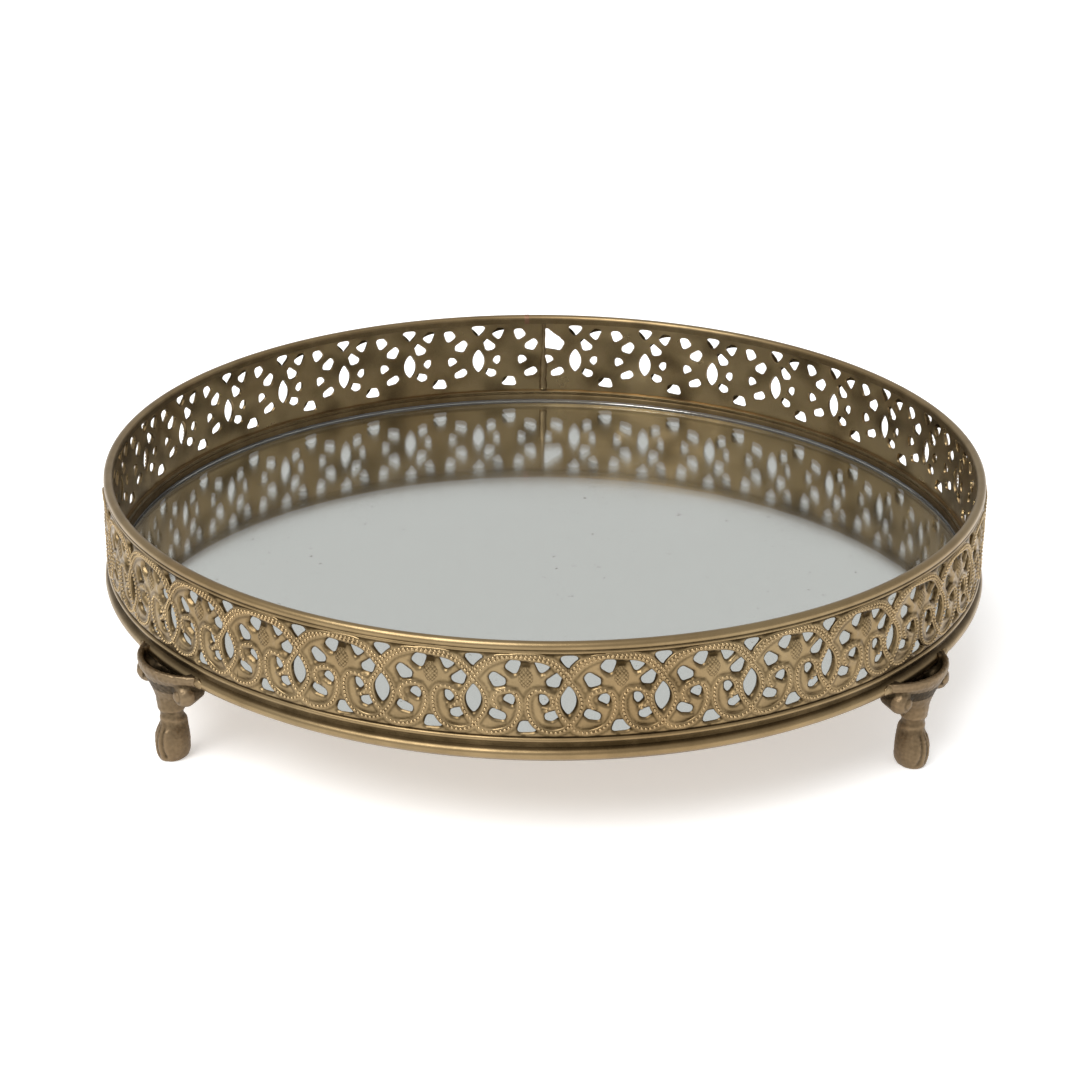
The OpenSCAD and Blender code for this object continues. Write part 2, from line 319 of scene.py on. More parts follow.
finish_material(start, {
    "Base Color": fox.mix([0.80, 0.815, 0.79, 1], [0.42, 0.40, 0.34, 1]),
    "Metallic": 1.0,
    "Roughness": haze * 0.05 + fox * 0.2 + 0.035,
})
for material in (clear_glass, ground_edge, silver):
    mirror.data.materials.append(material)
for face in mirror.data.polygons:
    if face.normal.z < -0.9:
        face.material_index = 2
    elif abs(face.normal.z) < 0.9:
        face.material_index = 1
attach(mirror, BODY)
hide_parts("mirror_glass")


# ---------------------------------------------------------------- Top rim
# A brass wire rolled with a small lip under it, slotted over the strip's top edge and soldered.
# Its joint, a little left of the back, is filled with copper-coloured solder.

rim_roll_r = 1.4
rim_roll_at = (128.6, 58.6)
rim_low_z = 57.2
rim_lip_r = 0.55
rim_lip_at = (129.38, 57.35)
rim_joint_at = -177.0
rim_joint_l = 1.6

rim_outline = [(127.2, rim_low_z + 0.1), (127.2, 58.2)]
rim_outline += arc(rim_roll_at, rim_roll_r, 180, -22, 18)
rim_outline += [(129.72, 57.98), (129.68, 57.86)]
rim_outline += arc(rim_lip_at, rim_lip_r, 50, -90, 9)
rim_outline += [(129.16, 56.82), (129.1, rim_low_z), (127.3, rim_low_z)]
top_rim = spun("rolled_top_rim", rim_outline)
# A dark line along the groove between the roll and the lip, patina and painted shade together; the inner face
# is darker too.
paint_patina_and_shade(top_rim, lambda at: (
    0.10 + 0.9 * math.exp(-((at.z - 57.92) / 0.28) ** 2) * (math.hypot(at.x, at.y) > 129)
    + (0.35 if math.hypot(at.x, at.y) < 127.6 else 0)))
top_rim.data.materials.append(rolled_brass)
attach(top_rim, BODY)
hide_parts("top_rim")


def lumpy_solder(name, bright, dark):
    material, start, place = new_material(name)
    lump = grain(start, place, 700.0, 3.0, 0.6)
    stain = grain(start, place, 260.0, 2.0, 0.5)
    tint = ((stain - 0.5) * 1.6 + 0.4).clamped()
    finish_material(start, {
        "Base Color": tint.mix(bright, dark),
        "Metallic": 1.0,
        "Roughness": (lump * 0.25 + 0.3).clamped(),
        "Normal": start.add("ShaderNodeBump", {}, {"Strength": 0.6, "Distance": 0.00012, "Height": lump}),
    })
    return material


copper_solder = lumpy_solder("copper_solder", [0.31, 0.18, 0.11, 1], [0.16, 0.085, 0.05, 1])
bronze_solder = lumpy_solder("bronze_solder", [0.36, 0.265, 0.15, 1], [0.19, 0.13, 0.065, 1])

proud_outline = []
for radius, height in rim_outline:
    away = (Vector((radius, height)) - Vector(rim_roll_at)).normalized() * 0.05
    proud_outline.append((radius + away.x, height + away.y))
joint_steps = 8
joint_vertices, joint_faces = [], []
count = len(proud_outline)
for i in range(joint_steps + 1):
    angle = math.radians(rim_joint_at) + (i / joint_steps - 0.5) * rim_joint_l / 130
    end = 0.5 if i in (0, joint_steps) else 1.0
    for (radius, height), (inner_r, inner_z) in zip(proud_outline, rim_outline):
        r, z = inner_r + (radius - inner_r) * end, inner_z + (height - inner_z) * end
        joint_vertices.append((r * math.sin(angle), -r * math.cos(angle), z))
    if i:
        low = (i - 1) * count
        joint_faces += [(low + j, low + (j + 1) % count, low + count + (j + 1) % count, low + count + j)
                        for j in range(count)]
joint_faces += [tuple(range(count)), tuple(range(joint_steps * count, (joint_steps + 1) * count))]
rim_joint = piece_from("rim_joint_solder", joint_vertices, joint_faces)


def face_outwards():
    """Turns the faces of the active piece outwards."""
    bpy.ops.object.mode_set(mode="EDIT")
    bpy.ops.mesh.select_all(action="SELECT")
    bpy.ops.mesh.normals_make_consistent(inside=False)
    bpy.ops.object.mode_set(mode="OBJECT")


face_outwards()
bpy.ops.object.shade_smooth_by_angle(angle=math.radians(40))
rim_joint.data.materials.append(copper_solder)
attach(rim_joint, BODY)
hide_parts("rim_seam_solder")


# ---------------------------------------------------------------- Pierced gallery
# A strip of sheet brass, stamped with loops that cross over pointed openings, pierced, bent round
# into a ring and slotted into the rim and the moulding. Its face is in relief and its back plain.

repeat_l = 24.2
first_cut_u = 2.0
seam_gap = 0.4
strip_z = 33.2
mid_r = (strip_in_r + strip_out_r) / 2
ring_l = 2 * math.pi * mid_r
last_cut_u = first_cut_u + ring_l - seam_gap
low_v, high_v = -0.6, 24.3
tile_u = 3.35
outline_step = 0.5
face_pitch = 0.54
back_pitch = 1.6
bud_u, bud_v = 13.3, 16.9
back_r = 128.36
back_flare = 0.25
strip_turn = math.radians(0.4)
stamping_lift = 0.25

# Openings of one repeat: distance along from an eye's axis, and height over the strip's lower edge.
openings = [
    [(5.0, 18.4), (3.7, 16.7), (5.2, 13.8), (8.2, 14.6), (8.1, 16.3)],
    [(7.6, 19.6), (9.3, 21.7), (12.3, 21.6), (10.85, 17.3)],
    [(15.1, 22.0), (17.6, 22.2), (19.8, 20.2), (17.0, 17.5)],
    [(21.4, 18.4), (22.6, 17.7), (21.6, 13.9), (18.8, 14.5), (18.3, 16.0)],
    [(10.5, 12.2), (8.4, 11.9), (7.3, 10.4), (10.0, 8.9), (10.45, 10.0)],
    [(16.7, 12.2), (18.4, 11.9), (19.4, 10.4), (17.8, 8.8), (16.8, 10.1)],
    [(4.8, 8.1), (3.7, 6.1), (5.2, 4.9), (8.1, 4.4), (8.4, 6.3)],
    [(18.15, 6.8), (21.4, 7.65), (21.9, 5.8), (20.1, 4.4), (18.15, 4.9)],
    [(12.0, 4.4), (15.4, 4.4), (16.4, 1.4), (10.8, 1.0)],
    [(21.1, 23.0), (27.4, 23.0), (24.25, 19.0)]]
eye_at, eye_half_w, eye_half_h = (24.2, 10.4), 1.95, 4.1
broken_bridge = [(5.2, 14.0), (8.2, 14.4), (12.0, 15.0), (12.6, 21.4), (9.4, 21.6), (7.2, 19.8), (5.0, 18.4)]

# The two beaded bands, each from its rise between the crowns to the scroll that it ends in.
right_band = [
    (-24.4, 18.2), (-21.5, 21.3), (-18.2, 22.6), (-14.3, 22.8), (-9.8, 22.4), (-6.5, 21.9), (-3.9, 20.6),
    (-1.7, 18.2), (0.3, 15.8), (2.2, 13.4), (3.3, 10.4), (3.1, 8.0), (1.9, 5.6), (0.3, 3.4), (-1.0, 2.2),
    (-3.3, 1.5), (-5.9, 1.9), (-8.3, 3.4), (-9.9, 6.0), (-10.4, 9.0), (-10.2, 11.4), (-9.1, 13.1),
    (-7.3, 13.6), (-5.3, 12.8), (-4.0, 10.8), (-4.3, 8.9), (-5.6, 7.8)]
left_band = [
    (24.3, 17.9), (20.7, 21.3), (17.5, 22.8), (13.9, 23.1), (9.4, 22.9), (6.1, 21.9), (3.2, 20.2),
    (0.3, 16.8), (-2.0, 13.4), (-3.1, 10.7), (-2.4, 7.3), (-0.4, 4.3), (0.9, 2.9), (1.9, 1.9), (4.5, 1.2),
    (7.8, 1.9), (10.2, 3.7), (11.6, 6.8), (11.9, 9.4), (11.3, 11.7), (10.1, 13.0), (8.1, 13.4), (5.9, 12.5),
    (5.1, 10.4), (6.0, 8.4)]


def rounded(corners, radius):
    """A closed outline with every corner eased by a short curve."""
    points = []
    for i, corner in enumerate(corners):
        here = Vector(corner)
        before = Vector(corners[i - 1]) - here
        after = Vector(corners[(i + 1) % len(corners)]) - here
        reach = min(radius / math.tan(before.angle(after) / 2), 0.48 * before.length, 0.48 * after.length)
        start, end = here + before.normalized() * reach, here + after.normalized() * reach
        for t in (0, 0.25, 0.5, 0.75, 1):
            points.append(start * (1 - t) ** 2 + here * 2 * t * (1 - t) + end * t * t)
    return points


def stepped(points, step, closed=True):
    """The same line with no stretch longer than a step."""
    made = []
    pairs = zip(points, points[1:] + points[:1]) if closed else zip(points, points[1:])
    for a, b in pairs:
        a, b = Vector(a), Vector(b)
        if (b - a).length < 0.05:
            continue
        parts = max(1, math.ceil((b - a).length / step - 0.2))
        made += [a.lerp(b, i / parts) for i in range(parts)]
    return made if closed else made + [Vector(points[-1])]


def curved(points, step):
    """Points at equal steps on a smooth curve through these."""
    ends = [Vector(p) for p in [points[0]] + points + [points[-1]]]
    fine = []
    for i in range(1, len(ends) - 2):
        a, b, c, d = ends[i - 1:i + 3]
        for j in range(12):
            t = j / 12
            fine.append(0.5 * (2 * b + (c - a) * t + (2 * a - 5 * b + 4 * c - d) * t ** 2
                               + (3 * b - a - 3 * c + d) * t ** 3))
    fine.append(ends[-1])
    total = sum((b - a).length for a, b in zip(fine, fine[1:]))
    parts = round(total / step)
    made, walked, wanted = [fine[0]], 0.0, total / parts
    for a, b in zip(fine, fine[1:]):
        length = (b - a).length
        while wanted <= walked + length + 1e-9 and len(made) < parts:
            made.append(a.lerp(b, (wanted - walked) / length))
            wanted += total / parts
        walked += length
    return made + [fine[-1]]


def eye_outline():
    """A pointed oval from two equal arcs."""
    arc_r = (eye_half_w ** 2 + eye_half_h ** 2) / (2 * eye_half_w)
    half_turn = math.asin(eye_half_h / arc_r)
    points = []
    for side in (1, -1):
        for i in range(17):
            turn = half_turn * (i / 8 - 1) * 0.94
            points.append((eye_at[0] + side * (arc_r * math.cos(turn) - arc_r + eye_half_w),
                           eye_at[1] + side * arc_r * math.sin(turn)))
    return points


def contains(outline, u, v):
    inside = False
    for a, b in zip(outline, outline[-1:] + outline[:-1]):
        if (a[1] > v) != (b[1] > v) and u < (b[0] - a[0]) * (v - a[1]) / (b[1] - a[1]) + a[0]:
            inside = not inside
    return inside


def outward(outline):
    """For each point of a closed outline, the direction away from what it encloses."""
    turned = sum(a[0] * b[1] - b[0] * a[1] for a, b in zip(outline, outline[1:] + outline[:1]))
    sides = []
    for before, after in zip(outline[-1:] + outline[:-1], outline[1:] + outline[:1]):
        side = Vector((after[1] - before[1], before[0] - after[0])).normalized()
        sides.append(side if turned > 0 else -side)
    return sides


def nearness(points):
    """A search tree of points in a plane."""
    tree = KDTree(len(points))
    for i, p in enumerate(points):
        tree.insert((p[0], p[1], 0), i)
    tree.balance()
    return tree


def eased(value):
    value = min(1.0, max(0.0, value))
    return value * value * (3 - 2 * value)


def on_strip(u, v, out):
    """The place of a point of the strip, out from its outer face."""
    angle = (u - first_cut_u + seam_gap / 2) / mid_r - math.pi + strip_turn
    radius = strip_out_r + stamping_lift + out
    return radius * math.sin(angle), -radius * math.cos(angle), strip_z + v


band_lines = [curved(right_band, 0.25), curved(left_band, 0.25)]
band_points = [(p.x + shift * repeat_l, p.y) for line in band_lines for p in line for shift in (-1, 0, 1, 2)]
band_tree = nearness(band_points)
eased_openings = [rounded(corners, 1.2) for corners in openings] + [[Vector(p) for p in eye_outline()]]
eased_bridge = rounded(broken_bridge, 1.2)
petal_ridges = [
    ((9.7, 16.2), (7.4, 19.1)), ((17.1, 16.3), (19.3, 19.2)), ((11.0, 13.6), (6.3, 12.4)),
    ((15.9, 13.6), (20.4, 12.5)), ((7.0, 9.2), (9.4, 8.0)), ((19.8, 9.2), (17.6, 8.0))]
lobes = [(7.0, 2.9), (19.3, 2.9)]


def line_distance(u, v, start, end):
    along, here = Vector(end) - Vector(start), Vector((u, v)) - Vector(start)
    share = min(1.0, max(0.0, here.dot(along) / along.length_squared))
    return (here - along * share).length


face_low, pillow_h, pillow_w = 0.12, 0.34, 0.9
edge_drop, edge_w = 0.42, 0.32
bank_h, bank_w = 0.22, 1.3
petal_h, petal_w = 0.36, 0.5
lobe_depth, lobe_half_l, lobe_half_h = 0.32, 3.3, 1.25
dimple_depth, dimple_half_l, dimple_half_h, dimple_over_bud = 0.7, 1.1, 0.8, 3.9


def relief(u, v, to_edge, to_band):
    """How far the stamped face stands out from the strip's flat outer face."""
    height = face_low + pillow_h * eased(to_edge / pillow_w) - edge_drop * (1 - eased(to_edge / edge_w))
    height += bank_h * math.exp(-(to_band / bank_w) ** 2)
    for start, end in petal_ridges:
        height += petal_h * math.exp(-(line_distance(u, v, start, end) / petal_w) ** 2)
    for lobe_u, lobe_v in lobes:
        away = ((u - lobe_u) / lobe_half_l) ** 2 + ((v - lobe_v) / lobe_half_h) ** 2
        height -= lobe_depth * math.exp(-away)
    dimple_v = bud_v + dimple_over_bud
    away = ((u - bud_u) / dimple_half_l) ** 2 + ((v - dimple_v) / dimple_half_h) ** 2
    height -= dimple_depth * math.exp(-away)
    edge_v = min(v, 23.6 - v)
    return max(-0.3, height - 0.35 * (1 - eased((edge_v + 0.3) / 0.8)))


def strip_tile(low_u, high_u, holes):
    """Flat triangles for one stretch of the strip, fine for its face and coarse for its back."""
    outlines = [stepped(hole, outline_step) for hole in holes]
    corner_points = [(low_u, low_v), (high_u, low_v), (high_u, high_v), (low_u, high_v)]
    border = stepped([Vector(p) for p in corner_points], outline_step)
    loops = outlines + [border]
    hole_points = [p for outline in outlines for p in stepped(outline, 0.15)]
    hole_tree = nearness(hole_points + [Vector((-99, -99))])
    loop_tree = nearness([p for loop in loops for p in loop])
    sheets = []
    for pitch in (face_pitch, back_pitch):
        points, edges = [], []
        for loop in loops:
            first = len(points)
            points += [Vector((p[0], p[1])) for p in loop]
            edges += [(first + i, first + (i + 1) % len(loop)) for i in range(len(loop))]
        loose = []
        for outline in outlines if pitch == face_pitch else []:
            for a, away in zip(outline, outward(outline)):
                if hole_tree.find((*(a + away * 0.28), 0))[2] > 0.22:
                    loose.append(a + away * 0.28)
        ring_tree = nearness(loose + [Vector((-99, -99))])
        row_h = pitch * math.sqrt(3) / 2
        for row in range(math.ceil((high_v - low_v) / row_h)):
            v = low_v + (row + 0.5) * row_h
            for column in range(math.ceil((high_u - low_u) / pitch) + 1):
                u = low_u + (column + 0.5 * (row % 2)) * pitch
                if not (low_u + 0.5 * pitch < u < high_u - 0.5 * pitch and low_v + 0.2 < v < high_v - 0.2):
                    continue
                nearest = min(tree.find((u, v, 0))[2] for tree in (loop_tree, ring_tree))
                if nearest > 0.62 * min(pitch, 0.8):
                    loose.append(Vector((u, v)))
        points += [p for p in loose if not any(contains(hole, p[0], p[1]) for hole in holes)]
        flat, _, triangles = delaunay_2d_cdt(points, edges, [], 0, 0.0005)[:3]
        kept = []
        for face in triangles:
            u, v = (sum(flat[i][axis] for i in face) / 3 for axis in (0, 1))
            if low_u < u < high_u and low_v < v < high_v and not any(contains(h, u, v) for h in holes):
                kept.append(tuple(face))
        sheets.append((flat, kept))
    flares = {(round(p[0], 2), round(p[1], 2)): away * back_flare
              for outline in outlines for p, away in zip(outline, outward(outline))
              if low_u + 0.3 < p[0] < high_u - 0.3}
    return sheets, hole_tree, flares


class Strip:
    """Gathers the strip's points and faces, tile by tile."""

    def __init__(self):
        self.vertices, self.faces, self.shades = [], [], []

    def add_tile(self, tile, shift, borders_kept):
        (face_flat, face_triangles), (back_flat, back_triangles) = tile[0]
        hole_tree, flares = tile[1:]
        first = len(self.vertices)
        for p in face_flat:
            to_edge = hole_tree.find((p[0], p[1], 0))[2]
            to_band = band_tree.find((p[0], p[1], 0))[2]
            height = relief(p[0], p[1], to_edge, to_band)
            wobble = noise.noise(Vector(((p[0] + shift) / 3, p[1] / 3, 0))) * 0.06
            self.vertices.append(on_strip(p[0] + shift, p[1], height + wobble))
            # The face is darkened beside each band's foot, patina and painted shade together; in the dimple
            # over the bud, as a painted shadow; along its top and bottom edges, as painted shade under the
            # rim and over the moulding. The low flats take more patina.
            beside = math.exp(-((to_band - 1.15) / 0.35) ** 2)
            hollow = math.exp(-((p[0] - bud_u) / 1.2) ** 2 - ((p[1] - bud_v - 3.6) / 1.0) ** 2)
            strip_edge_shade = 1 - eased(min(p[1], 23.6 - p[1]) / 0.7)
            low = eased((0.55 - height) / 0.5)
            self.shades.append(0.1 + 0.65 * beside + 1.2 * hollow + 0.7 * strip_edge_shade + 0.4 * low)
        self.faces += [tuple(first + i for i in face) for face in face_triangles]
        second = len(self.vertices)
        back_at = {}
        for i, p in enumerate(back_flat):
            sway = noise.noise(Vector(((p[0] + shift) / 5, p[1] / 5, 7))) * 0.22
            key = (round(p[0], 2), round(p[1], 2))
            flare = flares.get(key, Vector((0, 0)))
            out = back_r - strip_out_r + sway
            self.vertices.append(on_strip(p[0] + flare.x + shift, p[1] + flare.y, out))
            patch = noise.noise(Vector(((p[0] + shift) / 12, p[1] / 9, 4)))
            self.shades.append(0.14 + 0.85 * patch)
            back_at[key] = second + i
        self.faces += [tuple(second + i for i in reversed(face)) for face in back_triangles]
        uses = {}
        for face in face_triangles:
            for a, b in zip(face, face[1:] + face[:1]):
                uses[(a, b)] = 1
        for a, b in uses:
            if (b, a) in uses:
                continue
            pa, pb = face_flat[a], face_flat[b]
            on_border = [abs(pa[0] - border) < 0.01 and abs(pb[0] - border) < 0.01 for border in borders_kept]
            if any(on_border):
                continue
            keys = [(round(p[0], 2), round(p[1], 2)) for p in (pa, pb)]
            if all(key in back_at for key in keys):
                self.faces.append((first + b, first + a, back_at[keys[0]], back_at[keys[1]]))


strip = Strip()
left_end = strip_tile(repeat_l + first_cut_u, repeat_l + tile_u, eased_openings)
strip.add_tile(left_end, -repeat_l, [repeat_l + tile_u])
full_tile = strip_tile(tile_u, tile_u + repeat_l, eased_openings)
full_tiles = int((last_cut_u - tile_u) // repeat_l)
for index in range(full_tiles):
    strip.add_tile(full_tile, index * repeat_l, [tile_u, tile_u + repeat_l])
right_end = strip_tile(tile_u, last_cut_u - full_tiles * repeat_l, eased_openings[:-2] + [eased_bridge])
strip.add_tile(right_end, full_tiles * repeat_l, [tile_u])

gallery = piece_from("pierced_gallery", strip.vertices, strip.faces)
layer = gallery.data.attributes.new("patina", "FLOAT", "POINT")
layer.data.foreach_set("value", [min(1.0, max(0.0, shade)) for shade in strip.shades])
bpy.ops.object.mode_set(mode="EDIT")
bpy.ops.mesh.select_all(action="SELECT")
bpy.ops.mesh.remove_doubles(threshold=0.012 * MM)
bpy.ops.mesh.normals_make_consistent(inside=False)
bpy.ops.object.mode_set(mode="OBJECT")
bpy.ops.object.shade_smooth_by_angle(angle=math.radians(50))
stamped_brass = antique_brass("stamped_antique_brass", BRIGHT_BRASS, DARK_BRASS, 0.29, 2200.0, 0.00006)
gallery.data.materials.append(stamped_brass)
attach(gallery, BODY)
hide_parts("gallery_strip")


# ---------------------------------------------------------------- Bands, beads and buds
# The highest part of the stamping: a rounded band along each loop with a row of beads on it, and a
# bud with a hatched face between the loops. They are made apart from the strip, to be fine enough.

band_half_w = 0.9
band_top = 0.62
band_low = -0.2
bead_r = 0.56
bead_step = 1.15
section = [(-1.0, band_low), (-1.0, 0.2), (-0.85, 0.48), (-0.5, 0.6), (0, band_top), (0.5, 0.6),
           (0.85, 0.48), (1.0, 0.2), (1.0, band_low)]


def runs_inside(points):
    """The stretches of a line that lie on the strip, clear of its cut ends."""
    runs, run = [], []
    for p in points:
        if first_cut_u + 0.3 < p.x < last_cut_u - 0.3:
            run.append(p)
        elif run:
            runs.append(run)
            run = []
    return [r for r in runs + [run] if len(r) > 3]


band_vertices, band_faces, band_shades = [], [], []
bead_vertices, bead_faces, bead_shades = [], [], []
bead_rings = [(1.0, 0.0), (0.8, 0.62)]
bead_sides = 6


def add_band(run, lift):
    # The band is bright on its shoulders and dark along its crown, which shows between the beads, and at its
    # foot: partly patina, partly painted shade.
    first = len(band_vertices)
    for i, p in enumerate(run):
        ahead = run[min(i + 1, len(run) - 1)] - run[max(i - 1, 0)]
        side = Vector((-ahead.y, ahead.x)).normalized()
        taper = 0.35 + 0.65 * eased(min(i, len(run) - 1 - i) / 2.0)
        for across, up in section:
            at = p + side * across * band_half_w * taper
            height = up if up < 0 else (up + lift) * (0.5 + 0.5 * taper)
            band_vertices.append(on_strip(at.x, at.y, height))
            band_shades.append(0.9 if abs(across) > 0.9 else 0.75 - 0.7 * eased(abs(across) / 0.7))
    count = len(section)
    for i in range(len(run) - 1):
        low = first + i * count
        for j in range(count):
            k = (j + 1) % count
            band_faces.append((low + j, low + k, low + count + k, low + count + j))
    band_faces.append(tuple(first + j for j in reversed(range(count))))
    band_faces.append(tuple(first + (len(run) - 1) * count + j for j in range(count)))


def add_bead(p, lift, size):
    first = len(bead_vertices)
    # Each bead is dark round its foot and under it and bright on its crown: partly wear, partly painted shade
    # and painted highlight.
    centre = band_top - 0.06 + lift
    for share, up in bead_rings:
        for j in range(bead_sides):
            turn = 2 * math.pi * (j + 0.5 * (up > 0)) / bead_sides
            x, y = size * share * math.cos(turn), size * share * math.sin(turn)
            bead_vertices.append(on_strip(p.x + x, p.y + y, centre + size * up))
            bead_shades.append(0.9 if up == 0 else 0.05)
    bead_vertices.append(on_strip(p.x, p.y, centre + size))
    bead_shades.append(0.0)
    bead_vertices.append(on_strip(p.x, p.y, centre - 0.2))
    bead_shades.append(0.8)
    top, low = first + 2 * bead_sides, first + 2 * bead_sides + 1
    for j in range(bead_sides):
        k = (j + 1) % bead_sides
        bead_faces.extend([(first + j, first + k, first + bead_sides + j),
                           (first + k, first + bead_sides + k, first + bead_sides + j),
                           (first + bead_sides + j, first + bead_sides + k, top),
                           (low, first + k, first + j)])


repeats = math.ceil(last_cut_u / repeat_l)
for line, lift in ((right_band, 0.07), (left_band, 0.0)):
    coarse, dots = curved(line, 0.9), curved(line, bead_step)
    for index in range(-1, repeats + 2):
        shift = Vector((index * repeat_l, 0))
        for run in runs_inside([p + shift for p in coarse]):
            add_band(run, lift)
        for run in runs_inside([p + shift for p in dots]):
            for p in run:
                add_bead(p, lift, bead_r * (0.93 + 0.14 * noise.noise(Vector((p.x, p.y, 3)))))

bud_w, bud_l = 2.15, 6.1
bud_low, bud_rise, hatch_depth, hatch_step = 0.1, 0.95, 0.2, 1.05
bud_across, bud_along = 18, 26
bud_vertices, bud_faces, bud_shades = [], [], []
for index in range(full_tiles):
    first = len(bud_vertices)
    for i in range(bud_along + 1):
        share = i / bud_along
        half = bud_w * math.sin(math.pi * (0.06 + 0.84 * share)) ** 0.8
        for j in range(bud_across + 1):
            across = 2 * j / bud_across - 1
            x, y = across * half, (share - 0.5) * bud_l
            rise = math.sqrt(max(0.0, 1 - across ** 2)) * math.sin(math.pi * (0.08 + 0.86 * share)) ** 0.7
            hatch = min(abs((t / hatch_step) % 1 - 0.5) for t in (x + 0.85 * y, x - 0.85 * y))
            groove = (1 - eased(hatch / 0.2)) * eased(rise / 0.45)
            out = bud_low + bud_rise * rise - hatch_depth * groove
            bud_vertices.append(on_strip(index * repeat_l + bud_u + x, bud_v + y, out))
            bud_shades.append(0.08 + 0.8 * groove + 0.8 * (1 - eased(rise / 0.5)))
    wide = bud_across + 1
    bud_faces += [(first + i * wide + j, first + i * wide + j + 1, first + (i + 1) * wide + j + 1,
                   first + (i + 1) * wide + j) for i in range(bud_along) for j in range(bud_across)]
    edge = [j for j in range(wide)] + [i * wide + bud_across for i in range(1, bud_along + 1)]
    edge += [bud_along * wide + j for j in range(bud_across - 1, -1, -1)]
    edge += [i * wide for i in range(bud_along - 1, 0, -1)]
    bud_vertices.append(on_strip(index * repeat_l + bud_u, bud_v, -0.3))
    bud_shades.append(0.8)
    low = len(bud_vertices) - 1
    bud_faces += [(low, first + b, first + a) for a, b in zip(edge, edge[1:] + edge[:1])]

# The beads take a lighter copy of the brass: partly wear, partly a painted highlight.
bead_wear_and_highlight_brass = antique_brass("worn_and_highlit_bead_brass", [0.44, 0.33, 0.185, 1], DARK_BRASS, 0.27, 2200.0, 0.00004)
for name, vertices, faces, shades, material in (
        ("gallery_bands", band_vertices, band_faces, band_shades, stamped_brass),
        ("gallery_beads", bead_vertices, bead_faces, bead_shades, bead_wear_and_highlight_brass),
        ("gallery_buds", bud_vertices, bud_faces, bud_shades, stamped_brass)):
    stamped = piece_from(name, vertices, faces)
    layer = stamped.data.attributes.new("patina", "FLOAT", "POINT")
    layer.data.foreach_set("value", [min(1.0, max(0.0, shade)) for shade in shades])
    face_outwards()
    bpy.ops.object.shade_smooth_by_angle(angle=math.radians(65))
    stamped.data.materials.append(material)
    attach(stamped, BODY)


# ---------------------------------------------------------------- Gallery joint
# The strip's two ends meet at the back, closed with a lumpy bead of paler solder that has run down
# inside the strip.

bead_rows, bead_around = 60, 16
joint_vertices, joint_faces = [], []
for i in range(bead_rows + 1):
    share = i / bead_rows
    z = strip_z - 0.4 + share * 24.6
    lump = noise.noise(Vector((share * 9, 0, 0)))
    heavy = 1 - eased((share - 0.35) / 0.2)
    half_l = (0.66 + 0.6 * heavy + 0.2 * lump) * (1.0 if 0 < i < bead_rows else 0.3)
    half_r = (0.68 + 0.32 * heavy + 0.12 * lump) * (1.0 if 0 < i < bead_rows else 0.3)
    for j in range(bead_around):
        turn = 2 * math.pi * j / bead_around
        joint_vertices.append((0.12 * lump + half_l * math.cos(turn),
                               mid_r + 0.12 + half_r * math.sin(turn), z))
    if i:
        low = (i - 1) * bead_around
        joint_faces += [(low + j, low + (j + 1) % bead_around, low + bead_around + (j + 1) % bead_around,
                         low + bead_around + j) for j in range(bead_around)]
top_row = bead_rows * bead_around
joint_faces += [tuple(range(bead_around)), tuple(range(top_row, top_row + bead_around))]
gallery_joint = piece_from("gallery_joint_bead", joint_vertices, joint_faces)
gallery_joint.data.transform(Matrix.Rotation(strip_turn, 4, "Z"))
face_outwards()
bpy.ops.object.shade_smooth_by_angle(angle=math.radians(60))
gallery_joint.data.materials.append(bronze_solder)
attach(gallery_joint, BODY)
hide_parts("gallery_seam_solder")


# ---------------------------------------------------------------- Feet
# Four sand-cast brass paws. Each opens at the top into a crescent cup that is soldered to the
# moulding by its tips, over a scroll on either side, an ankle with a raised ring, and four toes.

foot_angles = {"front_left": -52.0, "front_right": 52.0, "rear_left": 232.0, "rear_right": 128.0}
foot_step = 0.34
cup_plan_y, cup_plan_r, cup_wall = 119.7, 17.6, 1.5
cup_high_z, cup_band_z, collar_z, cuff_z = 29.9, 27.6, 16.5, 12.3
foot_at, foot_back = 130.11, 125.61
collar_r, ankle_r = 3.7, 2.95

side_at, out_at, up_at = np.meshgrid(
    np.arange(-16.0, 16.2, foot_step), np.arange(124.0, 139.5, foot_step), np.arange(-1.4, 33.0, foot_step),
    indexing="ij")


def blended(first, second, softness):
    """The smaller of two distances, eased where they meet."""
    share = np.clip(0.5 + 0.5 * (second - first) / softness, 0, 1)
    return second + (first - second) * share - softness * share * (1 - share)


def rod(start, end, start_r, end_r):
    """Distance to a round rod between two places (side, out, up)."""
    line = [e - s for s, e in zip(start, end)]
    here = [grid - s for grid, s in zip((side_at, out_at, up_at), start)]
    share = np.clip(sum(h * l for h, l in zip(here, line)) / sum(l * l for l in line), 0, 1)
    away = np.sqrt(sum((h - share * l) ** 2 for h, l in zip(here, line)))
    return away - (start_r + (end_r - start_r) * share)


